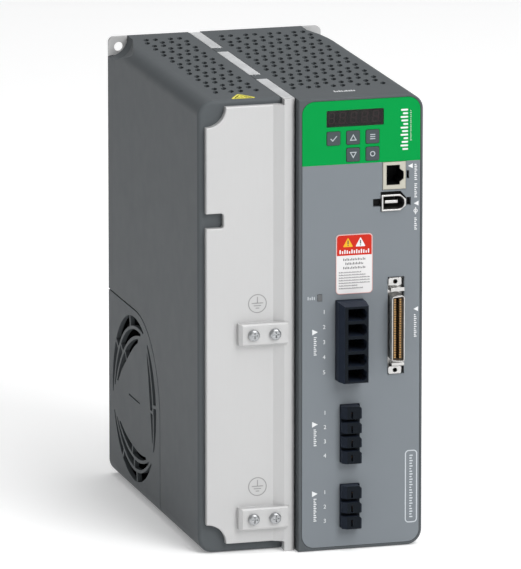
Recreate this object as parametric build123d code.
"""Single-axis servo drive, in millimetres.

+Z is up, the terminal side faces -Y, and +X is to the right of someone who looks at the terminals.
The origin is the centre of the bounding box in plan, at the height of the underside.
The unit has two plastic housings either side of an upright aluminium heat sink plate. The left
housing holds the fins and the fan. The right housing holds the electronics and the front panel.
"""
from build123d import *
import os
from math import cos, radians, sin

# Overall size
WIDTH = 117.4
HEIGHT = 239.1
OVERALL_DEPTH = 202.5
HALF_WIDTH = WIDTH / 2
REAR_Y = OVERALL_DEPTH / 2

# Housings: X spans, and depths measured forwards from the rear plane
WALL = 2.5
EDGE_RADIUS = 8.0
FRONT_EDGE_RADIUS = 2.0
RIM_EDGE_RADIUS = 0.6
LEFT_X = (-HALF_WIDTH, -14.5)
RIGHT_X = (-7.9, HALF_WIDTH)
LEFT_DEPTH = 181.0
PANEL_DEPTH = 191.5
PANEL_THICKNESS = 2.5
PANEL_REAR = PANEL_DEPTH - PANEL_THICKNESS
LEDGE_DEPTH = 186.0
LEDGE_INSET = 5.5
RIM = 1.5
HIDDEN_WALL_END = 175.0

# Back plate, its fixing ears and the housing reliefs around them
PLATE_THICKNESS = 2.0
EAR_RADIUS = 10.2
EAR_CORNER_RADIUS = 3.0
EAR_HOLE_RADIUS = 2.5
EAR_HOLE_INSET = 5.5
RELIEF_RADIUS = 10.5
RELIEF_DEPTH = 12.0
RELIEF_END_DEPTH = 42.0
RELIEF_END_RADIUS = 3.3
EAR_CORNERS = ((-1, 1), (1, 1), (1, 0))
POST_HALF = 4.0
REAR_SCREW_RADIUS = 1.5
REAR_SCREW_HEAD = (2.8, 1.7)
REAR_SCREW_LENGTH = 10.0
SINK_SCREWS_X = -11.2
SINK_SCREWS_Z = (20.0, 85.0, 155.0, 220.0)
LEFT_POSTS_Z = (130.0, 215.0)
RIGHT_POSTS_Z = (60.0, 190.0)
SCREW_CLEARANCE = 0.05

# Heat sink
BASE_X = (-14.2, -8.2)
BASE_FRONT = 183.0
FIN_THICKNESS = 1.6
FIN_PITCH = 7.2
FIN_COUNT = 23
FIN_FIRST = 12.0
FIN_SHORT_X = -26.0
FIN_TALL_X = -47.0
FIN_STEP_Z = 106.0
FIN_Z = (4.0, 233.0)
FIN_CORNER = (7.0, 9.0)
BRIDGES = ((46.0, 57.0), (120.5, 132.5))
BRIDGE_HEIGHT = WALL

# Front earth plate
EARTH_PLATE_X = (-55.2, -8.2)
EARTH_PLATE_Z = (5.2, 236.0)
EARTH_PLATE_FRONT = 184.5
FLANGE_X = (-14.2, -8.2)
FLANGE_FRONT = 187.0
RAMP_START_X = -19.5
CORNER_NOTCH_RADIUS = 10.5
SIDE_NOTCH_X = -46.0
SIDE_NOTCH_Z = (172.7, 180.5)
BOSS_X = (-38.8, -12.8)
BOSS_FRONT = 189.0
BOSS_CENTRES = (18.6, 116.4)
BOSS_HEIGHT = 11.4
EARTH_SCREW_X = (-31.3, -19.8)

# Top and bottom air vents: slanted slots in columns, every other one set a little to the right
VENT_SLOT = (7.4, 2.7)
VENT_ANGLE = 75.0
VENT_PITCH = (6.67, 8.47)
VENT_ZIGZAG = 1.67
VENT_ROWS = 18
VENT_FIRST = 15.9
LEFT_VENT_COLUMNS = (-43.5, 4)
RIGHT_VENT_COLUMNS = (-2.0, 8)

# Cooling fan, axis along X
FAN_DEPTH = 52.5
FAN_Z = 53.0
FAN_SIZE = 92.0
FAN_HOLE_SPACING = 82.5
FAN_X = (-54.0, -28.6)
FAN_BORE_RADIUS = 44.0
HUB_RADIUS = 21.0
BLADE_TIP_RADIUS = 42.0
BLADE_COUNT = 7
BLADE_CHORD = 15.0
BLADE_THICKNESS = 1.4
BLADE_PITCH = 40.0
BLADE_X = -42.5
SHAFT_RADIUS = 1.5
SHAFT_CLEARANCE = 0.05
MOTOR_BASE_X = -32.0
HUB_X = (-51.0, -34.0)
HUB_WALL = 1.8
STATOR_X = (-46.0, MOTOR_BASE_X)
STATOR_CORE_X = (-44.0, -36.0)

# Fan cover in the left side wall
SEAM_DEPTH = 105.0
SEAM_Z = 102.0
SEAM_RADIUS = 49.0
SEAM_GAP = 0.8
COVER_WRAP_X = -47.0
GRILLE_RADIUS = 44.5
GRILLE_BAR = 1.8
# Each sector: first and last angle, greatest inward reach, rows of slots, place of the main spoke
GRILLE_SECTORS = ((58, 194, 22.0, 3, 0.66), (194, 328, 19.0, 3, 0.62), (328, 418, 13.5, 2, 0.43))
SPOKE_LEAN = 0.06
SPOKE_HALF_ANGLE = 1.2
OUTER_SPOKE = 0.32
GRILLE_FULLNESS = 0.65
COVER_MARK = (22.0, 1.0, 0.6)

# Front panel and the green keypad bezel above it
PANEL_X = (-6.0, 57.2)
PANEL_Z = (1.7, 237.7)
PANEL_CORNER_RADIUS = 6.5
BEZEL_Z = 204.2
WINDOW_X = (6.9, 37.6)
WINDOW_Z = (223.9, 232.6)
KEY_SIZE = 7.2
KEY_GAP = 0.15
KEY_CORNER_RADIUS = 0.9
KEY_FRONT = 191.9
KEY_TRAVEL = 0.5
KEY_FLANGE = 8.6
KEYS = {
    "key_ok": (10.6, 218.0),
    "key_up": (21.1, 218.0),
    "key_mode": (31.5, 218.0),
    "key_down": (21.1, 209.0),
    "key_shift": (31.5, 209.0),
}
KEY_REAR = 187.5
HMI_BOARD_FRONT = 180.0
HMI_BOARD = ((-2.0, 55.0), (205.5, 234.0))
HMI_POSTS = [(x, z) for x in (1.5, 50.0) for z in (208.0, 231.0)]
JACK_CUTOUT = ((36.9, 49.6), (189.4, 206.0))
LINK_SLOT = ((49.9, 51.3), (194.8, 199.2))
LED_X = (2.2, 4.6)
LED_Z = (132.8, 136.3)

# Power terminals: X span, Z span, cell count
MAINS_X = (12.0, 26.7)
MAINS_Z = (90.6, 132.6)
MAINS_FRONT = OVERALL_DEPTH
MAINS_BEVEL_START = 196.7
MAINS_BEVEL = (1.9, 1.35)
MAINS_EDGE = 0.5
MAINS_SOCKETS = (94.9, 102.9, 110.9, 118.9, 126.9)
MAINS_SOCKET_X = (15.6, 25.6)
MAINS_SOCKET_HEIGHT = 6.4
MAINS_SOCKET_DEPTH = 18.0
MAINS_SOCKET_KEY = 1.6
MAINS_CONTACT = (5.0, 1.4, 1.0)
SMALL_TERMINAL_X = (14.5, 24.7)
SMALL_TERMINAL_FRONT = 197.5
SMALL_BEVEL = (2.2, 0.8)
CELL_PITCH = 7.62
CELL_GROOVE = (1.9, 4.5)
CELL_CORNER = 1.5
MOTOR_Z = (46.7, 4)
RESISTOR_Z = (11.9, 3)
SLIT_X = 19.3
SLIT_SIZE = (0.9, 3.6)
SLIT_DEPTH = 5.0
SLIT_DROP = 0.8
BLADE_SIZE = (0.6, 1.2, 2.8)
TERMINAL_REAR = 172.0
TERMINAL_FOOT_FRONT = 188.0

# Signal connectors
JACK_X = (37.1, 49.4)
JACK_Z = (189.6, 204.0)
JACK_CAVITY_X = (39.0, 46.2)
JACK_CAVITY_Z = (191.9, 202.4)
JACK_FRONT = 191.9
JACK_REAR = 174.0
JACK_FLOOR = 179.5
JACK_LATCH_Z = (193.4, 195.0, 198.7, 200.3)
JACK_LATCH_REACH = 2.1
ENCODER_X = (36.3, 49.4)
ENCODER_Z = (178.4, 187.0)
ENCODER_FRONT = 192.6
ENCODER_FLOOR = 178.0
ENCODER_NOSE = (3.1, 2.6)
ENCODER_WALL = 0.9
ENCODER_MOUTH_RADIUS = 3.3
ENCODER_TONGUE = ((38.6, 45.6), (182.0, 183.6))
ENCODER_SLOTS_X = ((31.9, 36.1), (49.9, 52.3))
ENCODER_SLOT_Z = (180.8, 185.0)
IO_X = 44.05
IO_Z = 116.8
IO_SHELL_SIZE = (6.8, 35.2)
IO_SHELL_WALL = 0.45
IO_SHELL_FRONT = 197.3
IO_FLANGE_FRONT = 187.4
IO_CUTOUT = ((40.0, 48.9), (91.7, 143.3))
IO_INSERT_FRONT = 195.8
IO_SLOT_WIDTH = 1.9
IO_CONTACT_PITCH = 1.27
IO_CONTACT_COUNT = 25
IO_CONTACT_SIZE = (1.0, 6.0, 0.6)
IO_LOCK_X = (40.15, 47.05)
IO_LOCK_HEIGHT = 3.9
IO_LOCK_FRONT = 192.4
IO_SCREW_X = 43.75
IO_SCREW_SPACING = 46.95
IO_SCREW_MIDDLE = 117.53
IO_SCREW_HOLE_RADIUS = 1.2
IO_TABS = (((41.5, 48.7), (135.7, 137.6)), ((42.0, 48.7), (96.2, 97.8)))

# Circuit boards and their fixings
BOARD_THICKNESS = 1.6
POWER_BOARD_X = 8.0
POWER_BOARD_TOP = POWER_BOARD_X + BOARD_THICKNESS
POWER_BOARD_DEPTH = (8.0, 184.0)
POWER_BOARD_Z = (8.0, 231.0)
POWER_POSTS = [(d, z) for d in (16.0, 164.0) for z in (14.0, 140.0, 226.0)]
CONTROL_BOARD_X = 50.6
CONTROL_BOARD_DEPTH = (26.0, 184.0)
CONTROL_BOARD_Z = (12.0, 200.0)
CONTROL_POSTS = [(d, z) for d in (34.0, 160.0) for z in (22.0, 160.0)]
STANDOFF_RADIUS = 3.0
TAP_RADIUS = 1.55

# Labels: the caution label in front view, the triangular one in plan
CAUTION_LABEL = ((12.0, 31.7), (135.8, 167.3))
CAUTION_LABEL_RADIUS = 2.0
CAUTION_LABEL_THICKNESS = 0.2
HOT_LABEL_X = (-40.5, -27.0)
HOT_LABEL_DEPTH = (167.5, 179.0)
HOT_LABEL_THICKNESS = 0.15

# Electronics on the heat sink plate: X, depth and height spans
POWER_MODULE = ((BASE_X[1], 4.0), (60.0, 130.0), (84.0, 132.0))
RECTIFIER = ((BASE_X[1], 1.0), (60.0, 100.0), (160.0, 190.0))
BRAKE_RESISTOR = ((BASE_X[1], 3.0), (112.0, 172.0), (196.0, 219.0))

# Electronics on the power board: heights above it, depth spans and height spans
CAPACITOR_RADIUS = 15.0
CAPACITOR_HEIGHT = 34.0
CAPACITORS = [(d, z) for d in (42.0, 78.0) for z in (40.0, 76.0, 112.0)]
CHOKE_DEPTH = 140.0
CHOKE_Z = 180.0
CHOKE_RING = (16.0, 7.5)
CHOKE_RISE = 8.2
CHOKE_BASE_RADIUS = 25.0
RELAY_SIZE = (15.0, 29.0, 13.0)
RELAYS = ((110.0, 110.0), (110.0, 126.0))
CORE_HEIGHT = 26.0
CORE_DEPTH = (80.0, 108.0)
CORE_LEG_DEPTH = (90.0, 98.0)
CORE_Z = (168.0, 196.0)
CORE_LIMB = 5.0
COIL_OVERHANG = 4.0
SENSOR_SIZE = (11.0, 18.0, 22.0)
SENSORS = ((140.0, 44.0), (140.0, 70.0))

# Packages on the control board: height above it, depth span and height span
CONTROL_CHIPS = (
    (1.8, (100.0, 124.0), (70.0, 94.0)),
    (1.8, (60.0, 80.0), (110.0, 130.0)),
    (1.5, (130.0, 142.0), (150.0, 160.0)),
    (1.5, (60.0, 70.0), (150.0, 168.0)),
)


def depth(distance):
    """Row Y of a plane this far in front of the rear plane."""
    return REAR_Y - distance


def block(x, d, z):
    """Box between two X values, two distances from the rear plane and two heights."""
    centre = Pos((x[0] + x[1]) / 2, depth((d[0] + d[1]) / 2), (z[0] + z[1]) / 2)
    return centre * Box(x[1] - x[0], d[1] - d[0], z[1] - z[0])


def rect(x, z):
    """Rectangle in front view."""
    return Pos((x[0] + x[1]) / 2, (z[0] + z[1]) / 2) * Rectangle(x[1] - x[0], z[1] - z[0])


def prism(sketch, d):
    """Front-view outline extruded between two distances from the rear plane."""
    return extrude(Plane.XZ.offset(d[0] - REAR_Y) * sketch, amount=d[1] - d[0])


def rod_x(x, d, z, radius):
    """Cylinder along X."""
    return Pos((x[0] + x[1]) / 2, depth(d), z) * Rot(0, 90, 0) * Cylinder(radius, x[1] - x[0])


def rod_y(x, d, z, radius):
    """Cylinder along the depth."""
    return Pos(x, depth((d[0] + d[1]) / 2), z) * Rot(90, 0, 0) * Cylinder(radius, d[1] - d[0])


def rounded_side(x, z, radius, side):
    """Front-view rectangle with two rounded corners on its left (-1) or right (1) side."""
    outline = rect(x, z)
    corners = outline.vertices().group_by(Axis.X)
    return fillet(corners[0] if side < 0 else corners[-1], radius)


def rounded(x, z, radius):
    """Front-view rectangle with four rounded corners."""
    outline = rect(x, z)
    return fillet(outline.vertices(), radius)


def grown(span, amount):
    """A (low, high) span made wider by this much at both ends."""
    return (span[0] - amount, span[1] + amount)


# ---------------------------------------------------------------- housings and back plate

def ear_relief(side, top, extra=0.0):
    """Scooped corner that clears a fixing ear and its screwdriver, grown by extra."""
    place = Pos(side * HALF_WIDTH, 0, top * HEIGHT)
    straight = Pos(0, depth((RELIEF_DEPTH - 1) / 2), 0) * Rot(90, 0, 0) * Cylinder(
        RELIEF_RADIUS + extra, RELIEF_DEPTH + 1)
    length = RELIEF_END_DEPTH - RELIEF_DEPTH
    taper = Pos(0, depth(RELIEF_DEPTH + length / 2), 0) * Rot(90, 0, 0) * Cone(
        RELIEF_RADIUS + extra, RELIEF_END_RADIUS + extra, length)
    return place * (straight + taper)


def vent_field(columns, z):
    """Slanted six-sided slots through a horizontal wall at height z."""
    length, width = VENT_SLOT
    half, shoulder, side = length / 2, length / 4, width / 2
    slot = make_face(Polyline((-half, 0), (-shoulder, side), (shoulder, side), (half, 0),
                              (shoulder, -side), (-shoulder, -side), close=True))
    first_x, count = columns
    slots = []
    for column in range(count):
        for row in range(VENT_ROWS):
            x = first_x + column * VENT_PITCH[0] + (column + row + 1) % 2 * VENT_ZIGZAG
            y = depth(VENT_FIRST + row * VENT_PITCH[1])
            slots.append(Pos(x, y) * Rot(0, 0, VENT_ANGLE) * slot)
    field = Sketch() + slots
    return extrude(Plane.XY.offset(z - WALL) * field, amount=3 * WALL)


def screw_post(side, z):
    """Square post on a side wall, tapped for a rear screw."""
    inner = HALF_WIDTH - WALL
    x = sorted((side * (inner - 2 * POST_HALF), side * (inner + 0.5)))
    post = block(x, (PLATE_THICKNESS + 0.2, 20), (z - POST_HALF, z + POST_HALF))
    return post - rod_y(side * (inner - POST_HALF), (0, 14), z, TAP_RADIUS)


def rear_screw_places():
    """X and height of the screws through the back plate: heat sink, left and right housing."""
    post_x = HALF_WIDTH - WALL - POST_HALF
    places = [(SINK_SCREWS_X, z) for z in SINK_SCREWS_Z]
    places += [(-post_x, z) for z in LEFT_POSTS_Z]
    return places + [(post_x, z) for z in RIGHT_POSTS_Z]


def plate_outline(extra=0.0):
    """Front-view rectangle of the back plate between the housing walls, grown by extra."""
    gap = WALL + 0.3 - extra
    outline = rect((-HALF_WIDTH + gap, HALF_WIDTH - gap), (gap, HEIGHT - gap))
    earless_corner = outline.vertices().sort_by_distance((-HALF_WIDTH, 0, 0))[0]
    return fillet(earless_corner, EDGE_RADIUS - WALL)


def left_shell():
    """Left housing and fan cover before they are cut apart."""
    outer = prism(rounded_side(LEFT_X, (0, HEIGHT), EDGE_RADIUS, -1), (0, LEFT_DEPTH))
    front_edges = outer.faces().sort_by(Axis.Y)[0].edges()
    outer = fillet(front_edges.filter_by(lambda e: e.center().X < LEFT_X[1] - 0.1), FRONT_EDGE_RADIUS)
    cavity_x = (LEFT_X[0] + WALL, LEFT_X[1] + 5)
    cavity = prism(rounded_side(cavity_x, (WALL, HEIGHT - WALL), EDGE_RADIUS - WALL, -1),
                   (-1, LEFT_DEPTH - WALL))
    cavity -= ear_relief(-1, 1, WALL)
    shell = outer - cavity - ear_relief(-1, 1)
    shell -= prism(plate_outline(0.2), (-1, PLATE_THICKNESS + 0.1))
    for z in LEFT_POSTS_Z:
        shell += screw_post(-1, z)
    shell -= vent_field(LEFT_VENT_COLUMNS, HEIGHT - WALL / 2)
    return shell


def seam_prism(shrink):
    """Side-view outline of the fan cover, as a prism from outside to the wrap line."""
    d = (-1.0, SEAM_DEPTH - shrink)
    z = (-1.0, SEAM_Z - shrink)
    outline = Pos(depth((d[0] + d[1]) / 2), (z[0] + z[1]) / 2) * Rectangle(d[1] - d[0], z[1] - z[0])
    corner = outline.vertices().sort_by_distance((depth(d[1]), z[1], 0))[0]
    outline = fillet(corner, SEAM_RADIUS - shrink)
    x0 = LEFT_X[0] - 1
    return extrude(Plane.YZ.offset(x0) * outline, amount=COVER_WRAP_X - shrink - x0)


def make_left_housing(shell):
    """Left shell without its fan cover, vented below as well as above."""
    housing = shell - seam_prism(0)
    return housing - vent_field((LEFT_VENT_COLUMNS[0] + VENT_PITCH[0], 3), WALL / 2)


def grille_radius(sector, angle, row):
    """Radius of a slot boundary: row 0 is the round rim and the last row is the solid centre."""
    first, last, reach, rows, _ = sector
    share = (angle - first) / (last - first)
    return GRILLE_RADIUS - reach * sin(radians(180 * share)) ** GRILLE_FULLNESS * row / rows


def grille_slot(sector, row, first, last):
    """Curved slot between two angles of one row."""
    half_bar = GRILLE_BAR / 2
    steps = 6
    angles = [first + (last - first) * i / steps for i in range(steps + 1)]
    outside = 0 if row == 0 else half_bar
    outer = [(grille_radius(sector, a, row) - outside, a) for a in angles]
    inner = [(grille_radius(sector, a, row + 1) + half_bar, a) for a in reversed(angles)]

    def point(polar):
        return (-polar[0] * cos(radians(polar[1])), polar[0] * sin(radians(polar[1])))

    outer_curve = Spline(*[point(p) for p in outer])
    inner_curve = Spline(*[point(p) for p in inner])
    ends = Line(outer_curve @ 1, inner_curve @ 0) + Line(inner_curve @ 1, outer_curve @ 0)
    return make_face(outer_curve + inner_curve + ends)


def grille_slots():
    """All the slots of the fan grille, as side-view outlines about the fan axis."""
    slots = []
    for sector in GRILLE_SECTORS:
        first, last, reach, rows, main_spoke = sector
        span = last - first
        for row in range(rows):
            spoke = first + span * (main_spoke - SPOKE_LEAN * row)
            stops = [first + span * (0.04 + 0.045 * row), spoke, last - span * (0.04 + 0.04 * row)]
            if row == 0 and rows > 2:
                stops.insert(1, first + span * OUTER_SPOKE)
            for start, end in zip(stops, stops[1:]):
                slots.append(grille_slot(sector, row, start + SPOKE_HALF_ANGLE, end - SPOKE_HALF_ANGLE))
    return slots


def make_fan_cover(shell):
    """Removable lower rear part of the left side, with the fan grille."""
    cover = shell & seam_prism(SEAM_GAP)
    openings = Sketch() + grille_slots()
    plane = Plane.YZ.offset(LEFT_X[0] - 1)
    cutter = extrude(plane * Pos(depth(FAN_DEPTH), FAN_Z) * openings, amount=WALL + 2)
    length, height, sunk = COVER_MARK
    mark = block((LEFT_X[0] - 1, LEFT_X[0] + sunk),
                 (FAN_DEPTH - length / 2, FAN_DEPTH + length / 2),
                 (FAN_Z - height / 2, FAN_Z + height / 2))
    return cover - cutter - mark


def make_right_housing():
    """Right shell with a ledge for the front panel and bridges over the heat sink plate."""
    outer = prism(rounded_side(RIGHT_X, (0, HEIGHT), EDGE_RADIUS, 1), (0, PANEL_DEPTH))
    outer = fillet(outer.faces().sort_by(Axis.Y)[0].edges(), RIM_EDGE_RADIUS)
    inner_x = (RIGHT_X[0] + WALL, RIGHT_X[1] - WALL)
    inner_z = (WALL, HEIGHT - WALL)
    cavity = prism(rounded_side(inner_x, inner_z, EDGE_RADIUS - WALL, 1), (-1, LEDGE_DEPTH))
    cavity -= ear_relief(1, 1, WALL) + ear_relief(1, 0, WALL)
    ledge_x = (RIGHT_X[0] + LEDGE_INSET, RIGHT_X[1] - LEDGE_INSET)
    ledge_z = (LEDGE_INSET, HEIGHT - LEDGE_INSET)
    mouth = prism(rounded(ledge_x, ledge_z, 3), (LEDGE_DEPTH - 1, PANEL_DEPTH))
    seat = prism(rounded(grown(PANEL_X, 0.2), grown(PANEL_Z, 0.2), PANEL_CORNER_RADIUS + 0.2),
                 (PANEL_REAR, PANEL_DEPTH + 1))
    plate_side = block((RIGHT_X[0] - 1, inner_x[0] + 0.5), (-1, HIDDEN_WALL_END), inner_z)
    housing = outer - cavity - mouth - seat - plate_side
    housing -= ear_relief(1, 1) + ear_relief(1, 0)
    housing -= prism(plate_outline(0.2), (-1, PLATE_THICKNESS + 0.1))
    for z in RIGHT_POSTS_Z:
        housing += screw_post(1, z)
    housing -= vent_field(RIGHT_VENT_COLUMNS, HEIGHT - WALL / 2)
    housing -= vent_field(RIGHT_VENT_COLUMNS, WALL / 2)
    for bridge in BRIDGES:
        for z in ((0, BRIDGE_HEIGHT), (HEIGHT - BRIDGE_HEIGHT, HEIGHT)):
            housing += block((BASE_X[0], RIGHT_X[0] + 1), bridge, z)
    return housing


def csk_screw(x, z):
    """Countersunk cross-slot screw driven in from the rear face."""
    head_radius, head = REAR_SCREW_HEAD
    cone = Pos(x, depth(head / 2), z) * Rot(90, 0, 0) * Cone(head_radius, REAR_SCREW_RADIUS, head)
    cross = Pos(x, depth(0.3), z) * (Box(4, 0.8, 0.7) + Box(0.7, 0.8, 4))
    return cone + rod_y(x, (head, REAR_SCREW_LENGTH), z, REAR_SCREW_RADIUS) - cross


def make_back_plate():
    """Aluminium back plate inside the housing walls, with three fixing ears."""
    whole = rounded((-HALF_WIDTH, HALF_WIDTH), (0, HEIGHT), EAR_CORNER_RADIUS)
    corners = [Pos(side * HALF_WIDTH, top * HEIGHT) for side, top in EAR_CORNERS]
    ears = Sketch() + [corner * Circle(EAR_RADIUS) for corner in corners]
    plate = prism(plate_outline() + (whole & ears), (0, PLATE_THICKNESS))
    for side, top in EAR_CORNERS:
        x = side * (HALF_WIDTH - EAR_HOLE_INSET)
        z = top * HEIGHT + (EAR_HOLE_INSET if top == 0 else -EAR_HOLE_INSET)
        plate -= rod_y(x, (-1, 4), z, EAR_HOLE_RADIUS)
    head_radius, head = REAR_SCREW_HEAD
    sink = Cone(head_radius + SCREW_CLEARANCE, TAP_RADIUS, head)
    for x, z in rear_screw_places():
        plate -= Pos(x, depth(head / 2), z) * Rot(90, 0, 0) * sink
        plate -= rod_y(x, (1, 4), z, TAP_RADIUS)
    return plate


# ---------------------------------------------------------------- heat sink and earth plate

def fan_corners():
    """Depth and height of the four fan fixing holes."""
    half = FAN_HOLE_SPACING / 2
    return [(FAN_DEPTH + i * half, FAN_Z + j * half) for i in (-1, 1) for j in (-1, 1)]


def make_heat_sink():
    """Upright base plate with tall fins above the fan, short fins behind it and four fan posts."""
    sink = block(BASE_X, (PLATE_THICKNESS, BASE_FRONT), (0, HEIGHT))
    for bridge in BRIDGES:
        for z in ((-1, BRIDGE_HEIGHT + 0.3), (HEIGHT - BRIDGE_HEIGHT - 0.3, HEIGHT + 1)):
            sink -= block(grown(BASE_X, 1), grown(bridge, 0.3), z)
    root = BASE_X[0] + 1
    low, high = FIN_Z
    fin = make_face(Polyline((root, low), (FIN_SHORT_X, low), (FIN_SHORT_X, FIN_STEP_Z),
                             (FIN_TALL_X, FIN_STEP_Z), (FIN_TALL_X, high - FIN_CORNER[1]),
                             (FIN_TALL_X + FIN_CORNER[0], high), (root, high), close=True))
    for i in range(FIN_COUNT):
        start = FIN_FIRST + i * FIN_PITCH
        sink += prism(fin, (start, start + FIN_THICKNESS))
    for d, z in fan_corners():
        sink += rod_x((FAN_X[1], BASE_X[0] + 1), d, z, 4.0)
        sink -= rod_x((FAN_X[1] - 1, BASE_X[0] - 2), d, z, 1.75)
    for z in SINK_SCREWS_Z:
        sink -= rod_y(SINK_SCREWS_X, (PLATE_THICKNESS - 1, REAR_SCREW_LENGTH + 1), z, TAP_RADIUS)
    for d, z in POWER_POSTS:
        sink -= rod_x((BASE_X[0] - 30, BASE_X[1] + 1), d, z, TAP_RADIUS)
    return sink


def make_earth_plate():
    """Front aluminium plate with corner and side notches, a raised flange and two earth bosses."""
    plate_z = EARTH_PLATE_Z
    outline = rect((EARTH_PLATE_X[0], FLANGE_X[0]), plate_z)
    side_notch = rect((EARTH_PLATE_X[0] - 2, SIDE_NOTCH_X), SIDE_NOTCH_Z)
    outline -= fillet(side_notch.vertices().group_by(Axis.X)[-1], 1.5)
    for z in plate_z:
        outline -= Pos(EARTH_PLATE_X[0], z) * Circle(CORNER_NOTCH_RADIUS)
    plate = prism(outline, (LEFT_DEPTH, EARTH_PLATE_FRONT))
    plate = chamfer(plate.faces().sort_by(Axis.Y)[0].edges(), 0.4)
    flange = block(FLANGE_X, (BASE_FRONT, FLANGE_FRONT), (0, HEIGHT))
    corner = flange.edges().filter_by(Axis.Z).group_by(Axis.X)[-1].sort_by(Axis.Y)[0]
    flange = fillet(corner, FLANGE_FRONT - BASE_FRONT - 1.5)
    inside, front, raised = depth(EARTH_PLATE_FRONT - 0.5), depth(EARTH_PLATE_FRONT), depth(FLANGE_FRONT)
    ramp_end = FLANGE_X[0] + 1
    ramp_profile = Polyline((RAMP_START_X, inside), (RAMP_START_X, front), (FLANGE_X[0], raised),
                            (ramp_end, raised), (ramp_end, inside), close=True)
    ramp = extrude(Plane.XY.offset(plate_z[0]) * make_face(ramp_profile), amount=plate_z[1] - plate_z[0])
    plate += flange + ramp
    for z in BOSS_CENTRES:
        boss_z = (z - BOSS_HEIGHT / 2, z + BOSS_HEIGHT / 2)
        boss = block(BOSS_X, (EARTH_PLATE_FRONT - 1, BOSS_FRONT), boss_z)
        face = boss.faces().sort_by(Axis.Y)[0]
        boss = chamfer(face.edges().sort_by(Axis.X)[0], 1.8)
        boss = chamfer(boss.faces().sort_by(Axis.Y)[0].edges().filter_by(Axis.X), 0.7)
        plate += boss
    for x in EARTH_SCREW_X:
        for z in BOSS_CENTRES:
            plate -= rod_y(x, (LEFT_DEPTH - 1, BOSS_FRONT + 1), z, TAP_RADIUS)
    return plate


def pan_screw_y(x, z, seat, length):
    """Pan-head cross-slot screw along the depth, its head in front of the seat."""
    head = rod_y(x, (seat, seat + 2.2), z, 3.0)
    head = fillet(head.faces().sort_by(Axis.Y)[0].edges(), 1.2)
    cross = Pos(x, depth(seat + 1.9), z) * (Box(3.4, 1.4, 0.8) + Box(0.8, 1.4, 3.4))
    return head + rod_y(x, (seat - length, seat), z, 1.5) - cross


def pan_screw_x(d, z, seat, length, direction, radius=1.5):
    """Pan-head screw along X, its head beyond the seat on the given side."""
    head_x = sorted((seat, seat + direction * 1.8))
    shank_x = sorted((seat, seat - direction * length))
    slot = Pos(seat + direction * 1.5, depth(d), z) * Box(1.2, 3.6, 0.8)
    return rod_x(head_x, d, z, 2 * radius) + rod_x(shank_x, d, z, radius) - slot


# ---------------------------------------------------------------- fan

def make_fan_frame():
    """Square fan frame with its bore, motor base, struts and corner holes."""
    half = FAN_SIZE / 2
    frame = block(FAN_X, (FAN_DEPTH - half, FAN_DEPTH + half), (FAN_Z - half, FAN_Z + half))
    frame = fillet(frame.edges().filter_by(Axis.X), 4)
    frame -= rod_x(grown(FAN_X, 1), FAN_DEPTH, FAN_Z, FAN_BORE_RADIUS)
    base_x = (MOTOR_BASE_X, FAN_X[1])
    frame += rod_x(base_x, FAN_DEPTH, FAN_Z, HUB_RADIUS)
    centre = Pos((base_x[0] + base_x[1]) / 2, depth(FAN_DEPTH), FAN_Z)
    for i in range(4):
        middle = (HUB_RADIUS + FAN_BORE_RADIUS) / 2
        strut = Pos(0, 0, middle) * Box(3.4, 5, FAN_BORE_RADIUS - HUB_RADIUS + 3)
        frame += centre * Rot(45 + 90 * i, 0, 0) * strut
    for d, z in fan_corners():
        frame -= rod_x(grown(FAN_X, 1), d, z, 2.15)
    return frame


def make_fan_stator():
    """Motor coil core on the motor base, with the shaft bearing bore."""
    stator = rod_x(STATOR_X, FAN_DEPTH, FAN_Z, 6.0)
    stator += rod_x(STATOR_CORE_X, FAN_DEPTH, FAN_Z, 9.0)
    centre = Pos(sum(STATOR_CORE_X) / 2, depth(FAN_DEPTH), FAN_Z)
    for i in range(4):
        stator += centre * Rot(45 + 90 * i, 0, 0) * Pos(0, 0, 12) * Box(7, 8, 8)
    bore_x = (STATOR_X[0] - 1, STATOR_X[1] - 2)
    return stator - rod_x(bore_x, FAN_DEPTH, FAN_Z, SHAFT_RADIUS + SHAFT_CLEARANCE)


def make_fan_rotor():
    """Fan hub cup with its shaft and pitched blades."""
    rotor = rod_x(HUB_X, FAN_DEPTH, FAN_Z, HUB_RADIUS)
    rotor = fillet(rotor.faces().sort_by(Axis.X)[0].edges(), 2)
    rotor -= rod_x((HUB_X[0] + HUB_WALL, HUB_X[1] + 1), FAN_DEPTH, FAN_Z, HUB_RADIUS - HUB_WALL)
    rotor += rod_x((HUB_X[0] + 1, HUB_X[1] - 0.5), FAN_DEPTH, FAN_Z, SHAFT_RADIUS)
    centre = Pos(BLADE_X, depth(FAN_DEPTH), FAN_Z)
    inner = HUB_RADIUS - 1
    length = BLADE_TIP_RADIUS - inner
    plain_blade = Box(BLADE_CHORD, BLADE_THICKNESS, length)
    for i in range(BLADE_COUNT):
        blade = Pos(0, 0, inner + length / 2) * Rot(0, 0, BLADE_PITCH) * plain_blade
        rotor += centre * Rot(360 * i / BLADE_COUNT, 0, 0) * blade
    return rotor


# ---------------------------------------------------------------- front panel and keypad

def encoder_cutout():
    """Panel opening around the encoder socket, with a slot at each side for the plug latches."""
    left, right = ENCODER_X[0] - 0.3, ENCODER_X[1] + 0.4
    bottom, top = ENCODER_Z[0] - 0.3, ENCODER_Z[1] + 1.5
    run, rise = ENCODER_NOSE
    opening = make_face(Polyline((left, bottom), (right - run, bottom), (right, bottom + rise),
                                 (right, top - rise - 1), (right - run, top), (left, top), close=True))
    for slot in ENCODER_SLOTS_X:
        opening += rect(slot, ENCODER_SLOT_Z)
    return opening


def terminal_cutout(x, z):
    """Panel opening just larger than a terminal block."""
    return rect(grown(x, 0.2), grown(z, 0.2))


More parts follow.
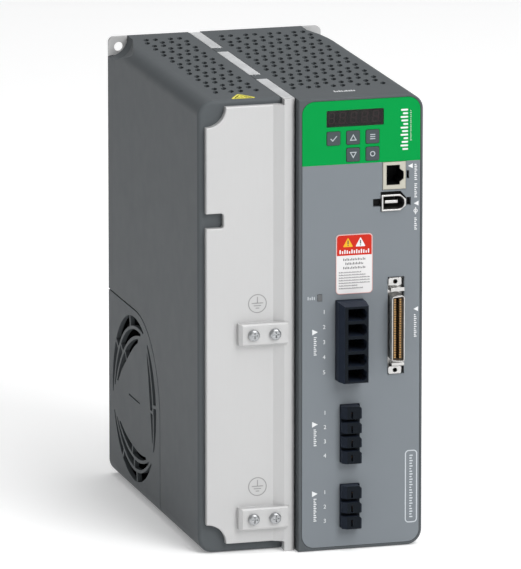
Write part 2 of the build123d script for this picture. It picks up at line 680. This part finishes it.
def cell_span(row):
    """Height span of a terminal block with this bottom and number of cells."""
    return (row[0], row[0] + row[1] * CELL_PITCH)


def make_front_panel():
    """Grey face plate with the connector openings."""
    outline = rect(PANEL_X, (PANEL_Z[0], BEZEL_Z))
    outline = fillet(outline.vertices().group_by(Axis.Y)[0], PANEL_CORNER_RADIUS)
    outline -= rect(*JACK_CUTOUT) + rect(*LINK_SLOT) + rect(*IO_CUTOUT) + encoder_cutout()
    outline -= rect(grown(LED_X, 0.1), grown(LED_Z, 0.1))
    outline -= terminal_cutout(MAINS_X, MAINS_Z)
    outline -= terminal_cutout(SMALL_TERMINAL_X, cell_span(MOTOR_Z))
    outline -= terminal_cutout(SMALL_TERMINAL_X, cell_span(RESISTOR_Z))
    return prism(outline, (PANEL_REAR, PANEL_DEPTH))


def make_keypad_bezel():
    """Green moulding with the display window and key openings, and four posts for the keypad board."""
    outline = rect(PANEL_X, (BEZEL_Z, PANEL_Z[1]))
    outline = fillet(outline.vertices().group_by(Axis.Y)[-1], PANEL_CORNER_RADIUS)
    outline -= rounded(WINDOW_X, WINDOW_Z, 0.6)
    half = KEY_SIZE / 2 + KEY_GAP
    for x, z in KEYS.values():
        outline -= rounded((x - half, x + half), (z - half, z + half), KEY_CORNER_RADIUS)
    bezel = prism(outline, (PANEL_REAR, PANEL_DEPTH))
    for x, z in HMI_POSTS:
        bezel += rod_y(x, (HMI_BOARD_FRONT, PANEL_REAR + 0.5), z, 2.0)
        bezel -= rod_y(x, (HMI_BOARD_FRONT - 1, PANEL_REAR - 2), z, 1.05)
    return bezel


def make_key(x, z):
    """Push key with a retaining flange behind the bezel and a stem towards its switch."""
    half = KEY_SIZE / 2
    cap = rounded((x - half, x + half), (z - half, z + half), KEY_CORNER_RADIUS)
    key = prism(cap, (KEY_REAR, KEY_FRONT))
    key = fillet(key.faces().sort_by(Axis.Y)[0].edges(), 0.35)
    flange = KEY_FLANGE / 2
    key += block((x - flange, x + flange), (KEY_REAR, PANEL_REAR - 0.4), (z - flange, z + flange))
    return key + rod_y(x, (KEY_REAR - 1.9, KEY_REAR + 0.1), z, 1.5)


def make_key_switch(x, z):
    """Tactile switch body with a round plunger."""
    body = block((x - 3, x + 3), (HMI_BOARD_FRONT, 183.5), (z - 3, z + 3))
    return body + rod_y(x, (183.4, 184.9), z, 1.6)


def make_display_module():
    """Five-digit display block behind the window."""
    front = PANEL_REAR + 0.2
    return block(grown(WINDOW_X, -0.6), (HMI_BOARD_FRONT, front), grown(WINDOW_Z, -0.5))


def make_hmi_board():
    """Keypad and display circuit board."""
    back = HMI_BOARD_FRONT - BOARD_THICKNESS
    board = block(HMI_BOARD[0], (back, HMI_BOARD_FRONT), HMI_BOARD[1])
    for x, z in HMI_POSTS:
        board -= rod_y(x, (back - 1, HMI_BOARD_FRONT + 1), z, 1.1)
    return board


def hmi_screw(x, z):
    """Small screw through the keypad board into a bezel post."""
    back = HMI_BOARD_FRONT - BOARD_THICKNESS
    return rod_y(x, (back - 1.4, back), z, 2.0) + rod_y(x, (back, back + 7), z, 1.0)


# ---------------------------------------------------------------- power terminals

def make_mains_terminal():
    """Five-pole supply connector: a deep block with keyed sockets."""
    left, right = MAINS_X
    bottom, top = MAINS_Z
    rear, bevel, front = depth(TERMINAL_REAR), depth(MAINS_BEVEL_START), depth(MAINS_FRONT)
    edge = MAINS_EDGE
    plan = Polyline((left, rear), (left, bevel), (left + MAINS_BEVEL[0], front), (right - edge, front),
                    (right, front + edge), (right, rear), close=True)
    side = Polyline((rear, bottom), (front + edge, bottom), (front, bottom + edge),
                    (front, top - MAINS_BEVEL[1]), (bevel, top), (rear, top), close=True)
    body = extrude(Plane.XY.offset(bottom - 1) * make_face(plan), amount=top - bottom + 2)
    body &= extrude(Plane.YZ.offset(left - 1) * make_face(side), amount=right - left + 2)
    body += block((POWER_BOARD_TOP, left + 1), (TERMINAL_REAR, TERMINAL_FOOT_FRONT), MAINS_Z)
    half = MAINS_SOCKET_HEIGHT / 2
    low, high = MAINS_SOCKET_X
    key = MAINS_SOCKET_KEY
    for z in MAINS_SOCKETS:
        outline = Polyline((low, z - half), (high - key, z - half), (high, z - half + key),
                           (high, z + half - key), (high - key, z + half), (low, z + half), close=True)
        body -= prism(make_face(outline), (MAINS_FRONT - MAINS_SOCKET_DEPTH, MAINS_FRONT + 1))
    return body


def make_mains_contacts():
    """One spring contact tongue at the bottom of each supply socket."""
    floor = MAINS_FRONT - MAINS_SOCKET_DEPTH
    length, height, thickness = MAINS_CONTACT
    middle = sum(MAINS_SOCKET_X) / 2
    x = (middle - length / 2, middle + length / 2)
    return Compound([block(x, (floor, floor + height), (z - thickness / 2, z + thickness / 2))
                     for z in MAINS_SOCKETS])


def slit_height(row, cell):
    """Centre height of the plug slit in one cell."""
    return row[0] + (cell + 0.5) * CELL_PITCH - SLIT_DROP


def make_small_terminal(row):
    """Connector with one slit per pole, grooves between the poles and a bevelled left edge."""
    span = cell_span(row)
    right, front = SMALL_TERMINAL_X[1], SMALL_TERMINAL_FRONT
    body = block(SMALL_TERMINAL_X, (TERMINAL_REAR, front), span)
    body = chamfer(body.faces().sort_by(Axis.Y)[0].edges().sort_by(Axis.X)[0], SMALL_BEVEL[0])
    body = chamfer(body.faces().sort_by(Axis.Y)[0].edges().sort_by(Axis.X)[-1], SMALL_BEVEL[1])
    foot_x = (POWER_BOARD_TOP, SMALL_TERMINAL_X[0] + 1)
    body += block(foot_x, (TERMINAL_REAR, TERMINAL_FOOT_FRONT), span)
    width, sunk = CELL_GROOVE
    for i in range(1, row[1]):
        z = row[0] + i * CELL_PITCH
        groove_z = (z - width / 2, z + width / 2)
        body -= block(grown(SMALL_TERMINAL_X, 1), (front - sunk, front + 1), groove_z)
    for i in range(row[1]):
        top = row[0] + (i + 1) * CELL_PITCH - (width / 2 if i < row[1] - 1 else 0)
        corner = Polyline((right - CELL_CORNER, top + 0.1), (right + 0.1, top + 0.1),
                          (right + 0.1, top - CELL_CORNER), close=True)
        body -= prism(make_face(corner), (front - sunk, front + 1))
        z = slit_height(row, i)
        body -= block((SLIT_X - SLIT_SIZE[0] / 2, SLIT_X + SLIT_SIZE[0] / 2),
                      (front - SLIT_DEPTH, front + 1),
                      (z - SLIT_SIZE[1] / 2, z + SLIT_SIZE[1] / 2))
    return body


def make_small_contacts(row):
    """One contact blade at the bottom of each slit."""
    floor = SMALL_TERMINAL_FRONT - SLIT_DEPTH
    thickness, height, width = BLADE_SIZE
    x = (SLIT_X - thickness / 2, SLIT_X + thickness / 2)
    blades = []
    for i in range(row[1]):
        z = slit_height(row, i)
        blades.append(block(x, (floor, floor + height), (z - width / 2, z + width / 2)))
    return Compound(blades)


# ---------------------------------------------------------------- signal connectors

def make_network_jack():
    """Eight-contact modular jack with its latch notch towards the right."""
    jack = block(JACK_X, (JACK_REAR, JACK_FRONT), JACK_Z)
    jack = fillet(jack.faces().sort_by(Axis.Y)[0].edges(), 0.4)
    jack += block((JACK_X[0], CONTROL_BOARD_X), (JACK_REAR, PANEL_REAR - 0.4), JACK_Z)
    cavity = rect(JACK_CAVITY_X, JACK_CAVITY_Z)
    right = JACK_CAVITY_X[1]
    tip = right + JACK_LATCH_REACH
    foot, low, high, head = JACK_LATCH_Z
    latch = Polyline((right - 1, head), (right, head), (tip, high), (tip, low), (right, foot),
                     (right - 1, foot), close=True)
    return jack - prism(cavity + make_face(latch), (JACK_FLOOR, JACK_FRONT + 1))


def make_network_contacts():
    """Eight gold contact springs on the side away from the latch."""
    pitch, half_width, count = 1.02, 0.25, 8
    middle = sum(JACK_CAVITY_Z) / 2
    x = (JACK_CAVITY_X[0], JACK_CAVITY_X[0] + 0.5)
    springs = []
    for i in range(count):
        z = middle + (i - (count - 1) / 2) * pitch
        springs.append(block(x, (JACK_FLOOR, JACK_FRONT - 2.4), (z - half_width, z + half_width)))
    return Compound(springs)


def encoder_outline():
    """Six-sided socket outline, square on the left and pointed on the right."""
    x0, x1 = ENCODER_X
    z0, z1 = ENCODER_Z
    run, rise = ENCODER_NOSE
    return make_face(Polyline((x0, z0), (x1 - run, z0), (x1, z0 + rise), (x1, z1 - rise),
                              (x1 - run, z1), (x0, z1), close=True))


def make_encoder_shell():
    """Steel shell of the encoder socket, with a mouth that is round on the right."""
    mouth_x, mouth_z = grown(ENCODER_X, -ENCODER_WALL), grown(ENCODER_Z, -ENCODER_WALL)
    mouth = rounded_side(mouth_x, mouth_z, ENCODER_MOUTH_RADIUS, 1)
    shell = prism(encoder_outline() - mouth, (ENCODER_FLOOR, ENCODER_FRONT))
    return fillet(shell.faces().sort_by(Axis.Y)[0].edges(), 0.25)


def make_encoder_body():
    """Black moulding around the shell, with a latch block at each side."""
    front = PANEL_REAR - 0.2
    body = block((31.5, CONTROL_BOARD_X), (TERMINAL_REAR, front), (177.6, 189.0))
    body += block((50.2, 52.6), (184, front), (180.3, 185.4))
    return body - prism(encoder_outline(), (ENCODER_FLOOR, PANEL_REAR))


def make_encoder_contacts():
    """Flat contact tongue in the middle of the encoder socket."""
    tongue_x, tongue_z = ENCODER_TONGUE
    tongue = block(tongue_x, (ENCODER_FLOOR, ENCODER_FRONT - 2.2), tongue_z)
    return fillet(tongue.faces().sort_by(Axis.Y)[0].edges(), 0.3)


def io_profile(inset, radius):
    """D-shaped outline of the ribbon connector, its long side on the right."""
    width, height = IO_SHELL_SIZE[0] - 2 * inset, IO_SHELL_SIZE[1] - 2 * inset
    slant = width * 0.1
    outline = make_face(Polyline((width / 2, -height / 2), (width / 2, height / 2),
                                 (-width / 2, height / 2 - slant), (-width / 2, -height / 2 + slant),
                                 close=True))
    return Pos(IO_X, IO_Z) * fillet(outline.vertices(), radius)


def io_screw_heights():
    """Heights of the two jack screws."""
    return (IO_SCREW_MIDDLE - IO_SCREW_SPACING / 2, IO_SCREW_MIDDLE + IO_SCREW_SPACING / 2)


def make_io_shell():
    """Pressed steel shell of the ribbon connector, with its flange and a folded tab at each end."""
    rear = IO_FLANGE_FRONT - 1
    shell = prism(io_profile(0, 1.2), (IO_FLANGE_FRONT - 0.5, IO_SHELL_FRONT))
    shell += block(grown(IO_CUTOUT[0], 0.4), (rear, IO_FLANGE_FRONT), grown(IO_CUTOUT[1], 0.4))
    for tab_x, tab_z in IO_TABS:
        shell += block(tab_x, (IO_FLANGE_FRONT - 0.5, IO_LOCK_FRONT), tab_z)
    shell -= prism(io_profile(IO_SHELL_WALL, 0.8), (rear - 1, IO_SHELL_FRONT + 1))
    for z in io_screw_heights():
        shell -= rod_y(IO_SCREW_X, (rear - 1, IO_FLANGE_FRONT + 0.5), z, 1.6)
    return shell


def make_io_contacts():
    """Two rows of contacts, one in each wall of the connector's central slot."""
    length, run, thickness = IO_CONTACT_SIZE
    span = (IO_INSERT_FRONT - run, IO_INSERT_FRONT + 0.1)
    contacts = []
    for side in (-1, 1):
        edge = IO_X + side * IO_SLOT_WIDTH / 2
        x = sorted((edge, edge + side * length))
        for i in range(IO_CONTACT_COUNT):
            z = IO_Z + (i - (IO_CONTACT_COUNT - 1) / 2) * IO_CONTACT_PITCH
            contacts.append(block(x, span, (z - thickness / 2, z + thickness / 2)))
    return Compound(contacts)


def make_io_insert(contacts):
    """Brown insulator inside the shell, with a central slot and a seat for every contact."""
    insert = prism(io_profile(IO_SHELL_WALL + 0.1, 0.7), (180, IO_INSERT_FRONT))
    half = IO_SHELL_SIZE[1] / 2
    insert += block((40, CONTROL_BOARD_X), (TERMINAL_REAR, IO_FLANGE_FRONT - 1.2),
                    (IO_Z - half, IO_Z + half))
    slot_half = IO_CONTACT_COUNT * IO_CONTACT_PITCH / 2 + 0.4
    insert -= block((IO_X - IO_SLOT_WIDTH / 2, IO_X + IO_SLOT_WIDTH / 2),
                    (IO_INSERT_FRONT - IO_CONTACT_SIZE[1], IO_INSERT_FRONT + 1),
                    (IO_Z - slot_half, IO_Z + slot_half))
    return insert - contacts


def make_io_screw_locks():
    """Two bright blocks tapped for the plug's jack screws."""
    span = (IO_FLANGE_FRONT, IO_LOCK_FRONT)
    half = IO_LOCK_HEIGHT / 2
    locks = []
    for z in io_screw_heights():
        lock = block(IO_LOCK_X, span, (z - half, z + half))
        lock = fillet(lock.edges().filter_by(Axis.Y), 0.8)
        locks.append(lock - rod_y(IO_SCREW_X, grown(span, 1), z, IO_SCREW_HOLE_RADIUS))
    return Compound(locks)


# ---------------------------------------------------------------- electronics

def make_power_board():
    """Upright power circuit board beside the heat sink plate."""
    x = (POWER_BOARD_X, POWER_BOARD_TOP)
    board = block(x, POWER_BOARD_DEPTH, POWER_BOARD_Z)
    board -= block(grown(x, 1), (TERMINAL_REAR, PANEL_REAR), (CONTROL_BOARD_Z[1], HEIGHT))
    for d, z in POWER_POSTS:
        board -= rod_x(grown(x, 1), d, z, 1.7)
    return board


def make_control_board():
    """Upright control circuit board that carries the signal connectors."""
    x = (CONTROL_BOARD_X, CONTROL_BOARD_X + BOARD_THICKNESS)
    board = block(x, CONTROL_BOARD_DEPTH, CONTROL_BOARD_Z)
    for d, z in CONTROL_POSTS:
        board -= rod_x(grown(x, 1), d, z, 1.7)
    return board


def standoff(x, d, z):
    """Round spacer with a through hole."""
    return rod_x(x, d, z, STANDOFF_RADIUS) - rod_x(grown(x, 1), d, z, 1.6)


def pin_row(package, count, first, pitch, thickness, z):
    """Flat pins in a row along the depth, from a package on the heat sink up to the power board."""
    x = (package[0][1] - 0.5, POWER_BOARD_X)
    starts = [package[1][0] + first + i * pitch for i in range(count)]
    return [block(x, (d - thickness / 2, d + thickness / 2), (z - thickness / 2, z + thickness / 2))
            for d in starts]


def make_power_module():
    """Transistor module on the heat sink, with two rows of pins up to the board."""
    module = block(*POWER_MODULE)
    for z in (POWER_MODULE[2][0] + 4.5, POWER_MODULE[2][1] - 4.5):
        for pin in pin_row(POWER_MODULE, 14, 3.0, 5.0, 1.0, z):
            module += pin
    return module


def make_rectifier():
    """Input bridge rectifier on the heat sink, with one row of pins."""
    bridge = block(*RECTIFIER)
    for pin in pin_row(RECTIFIER, 5, 4.0, 8.0, 1.2, RECTIFIER[2][1] - 3.4):
        bridge += pin
    return bridge


def make_capacitors():
    """Six direct-current link capacitors on the power board."""
    x = (POWER_BOARD_TOP, POWER_BOARD_TOP + CAPACITOR_HEIGHT)
    cans = []
    for d, z in CAPACITORS:
        can = rod_x(x, d, z, CAPACITOR_RADIUS)
        cans.append(fillet(can.edges(), 1.5))
    return Compound(cans)


def choke_ring(extra=0.0):
    """Ring of the common-mode choke, its section grown by extra."""
    radius, section = CHOKE_RING
    place = Pos(POWER_BOARD_TOP + CHOKE_RISE, depth(CHOKE_DEPTH), CHOKE_Z) * Rot(0, 90, 0)
    return place * Torus(radius, section + extra)


def make_choke_base():
    """Plastic carrier under the ring choke."""
    x = (POWER_BOARD_TOP, POWER_BOARD_TOP + 2.5)
    return rod_x(x, CHOKE_DEPTH, CHOKE_Z, CHOKE_BASE_RADIUS) - choke_ring(0.05)


def board_boxes(size, places):
    """Boxes of one size on the power board, at these lowest depths and heights."""
    rise, length, height = size
    x = (POWER_BOARD_TOP, POWER_BOARD_TOP + rise)
    return Compound([block(x, (d, d + length), (z, z + height)) for d, z in places])


def make_transformer():
    """Switch-mode transformer: a ferrite core with a window and a centre leg."""
    top = POWER_BOARD_TOP
    window_x = (top + CORE_LIMB, top + CORE_HEIGHT - CORE_LIMB)
    core = block((top, top + CORE_HEIGHT), CORE_DEPTH, CORE_Z)
    core -= block(window_x, grown(CORE_DEPTH, 1), grown(CORE_Z, -CORE_LIMB))
    return core + block(grown(window_x, 1), CORE_LEG_DEPTH, CORE_Z)


def make_transformer_coil():
    """Winding and bobbin either side of the centre leg, filling the core window."""
    top = POWER_BOARD_TOP
    window_x = (top + CORE_LIMB, top + CORE_HEIGHT - CORE_LIMB)
    coil = block(window_x, grown(CORE_DEPTH, COIL_OVERHANG), grown(CORE_Z, -CORE_LIMB))
    return coil - block(grown(window_x, 2), CORE_LEG_DEPTH, grown(CORE_Z, 4))


def make_brake_resistor():
    """Aluminium-clad braking resistor screwed to the heat sink plate."""
    body = block(*BRAKE_RESISTOR)
    return chamfer(body.edges().filter_by(Axis.Y).group_by(Axis.X)[-1], 2.5)


def make_control_chips():
    """Processor, logic and driver packages on the control board."""
    right = CONTROL_BOARD_X
    return Compound([block((right - rise, right), d, z) for rise, d, z in CONTROL_CHIPS])


def make_board_link():
    """Stacking header that joins the keypad board to the control circuits."""
    return block((47.6, 50.0), (164, HMI_BOARD_FRONT - BOARD_THICKNESS), (211, 228))


# ---------------------------------------------------------------- labels

def make_warning_label():
    """Caution label stuck on the front panel."""
    outline = rounded(*CAUTION_LABEL, CAUTION_LABEL_RADIUS)
    return prism(outline, (PANEL_DEPTH, PANEL_DEPTH + CAUTION_LABEL_THICKNESS))


def make_hot_surface_label():
    """Triangular label on top of the left housing."""
    left, right = HOT_LABEL_X
    apex, base = (depth(d) for d in HOT_LABEL_DEPTH)
    outline = make_face(Polyline((left, base), (right, base), ((left + right) / 2, apex), close=True))
    plan = fillet(outline.vertices(), 0.8)
    return extrude(Plane.XY.offset(HEIGHT) * plan, amount=HOT_LABEL_THICKNESS)


def make_charge_lens():
    """Light guide of the charge indicator."""
    lens = block(LED_X, (PANEL_REAR - 3, PANEL_DEPTH + 0.2), LED_Z)
    return lens + block(grown(LED_X, 0.8), (PANEL_REAR - 4, PANEL_REAR - 0.1), grown(LED_Z, 0.8))


def make_display_window():
    """Tinted window in the bezel."""
    outline = rounded(grown(WINDOW_X, -0.05), grown(WINDOW_Z, -0.05), 0.55)
    return prism(outline, (PANEL_REAR + 0.4, PANEL_DEPTH - 0.3))


def build():
    """Every node of the drive by name."""
    shell = left_shell()
    boss_screws = [(x, z) for x in EARTH_SCREW_X for z in BOSS_CENTRES]
    power_gap = (BASE_X[1], POWER_BOARD_X)
    control_gap = (CONTROL_BOARD_X + BOARD_THICKNESS, HALF_WIDTH - WALL)
    io_contacts = make_io_contacts()
    nodes = {
        "back_plate": make_back_plate(),
        "left_housing": make_left_housing(shell),
        "right_housing": make_right_housing(),
        "heat_sink": make_heat_sink(),
        "earth_plate": make_earth_plate(),
        "earth_screws": Compound([pan_screw_y(x, z, BOSS_FRONT, 7) for x, z in boss_screws]),
        "rear_screws": Compound([csk_screw(x, z) for x, z in rear_screw_places()]),
        "fan_cover": make_fan_cover(shell),
        "fan_frame": make_fan_frame(),
        "fan_stator": make_fan_stator(),
        "fan_rotor": make_fan_rotor(),
        "fan_screws": Compound([pan_screw_x(d, z, FAN_X[0], 34, -1, 1.7) for d, z in fan_corners()]),
        "front_panel": make_front_panel(),
        "keypad_bezel": make_keypad_bezel(),
        "display_window": make_display_window(),
        "display_module": make_display_module(),
        "keypad_board": make_hmi_board(),
        "keypad_board_screws": Compound([hmi_screw(x, z) for x, z in HMI_POSTS]),
        "key_switches": Compound([make_key_switch(x, z) for x, z in KEYS.values()]),
        "charge_lens": make_charge_lens(),
        "warning_label": make_warning_label(),
        "hot_surface_label": make_hot_surface_label(),
        "mains_terminal": make_mains_terminal(),
        "mains_contacts": make_mains_contacts(),
        "motor_terminal": make_small_terminal(MOTOR_Z),
        "motor_contacts": make_small_contacts(MOTOR_Z),
        "resistor_terminal": make_small_terminal(RESISTOR_Z),
        "resistor_contacts": make_small_contacts(RESISTOR_Z),
        "network_jack": make_network_jack(),
        "network_contacts": make_network_contacts(),
        "encoder_shell": make_encoder_shell(),
        "encoder_body": make_encoder_body(),
        "encoder_contacts": make_encoder_contacts(),
        "io_shell": make_io_shell(),
        "io_insert": make_io_insert(io_contacts),
        "io_contacts": io_contacts,
        "io_screw_locks": make_io_screw_locks(),
        "power_board": make_power_board(),
        "power_standoffs": Compound([standoff(power_gap, d, z) for d, z in POWER_POSTS]),
        "power_board_screws": Compound([pan_screw_x(d, z, POWER_BOARD_TOP, 22, 1)
                                        for d, z in POWER_POSTS]),
        "control_board": make_control_board(),
        "control_standoffs": Compound([standoff(control_gap, d, z) for d, z in CONTROL_POSTS]),
        "control_board_screws": Compound([pan_screw_x(d, z, CONTROL_BOARD_X, 5, -1)
                                          for d, z in CONTROL_POSTS]),
        "power_module": make_power_module(),
        "rectifier": make_rectifier(),
        "link_capacitors": make_capacitors(),
        "mains_choke": choke_ring(),
        "choke_base": make_choke_base(),
        "soft_start_relays": board_boxes(RELAY_SIZE, RELAYS),
        "transformer_core": make_transformer(),
        "transformer_coil": make_transformer_coil(),
        "current_sensors": board_boxes(SENSOR_SIZE, SENSORS),
        "brake_resistor": make_brake_resistor(),
        "control_chips": make_control_chips(),
        "board_link": make_board_link(),
    }
    for name, (x, z) in KEYS.items():
        nodes[name] = make_key(x, z)
    return nodes


os.makedirs("parts", exist_ok=True)
for name, shape in build().items():
    export_step(shape, f"parts/{name}.step")
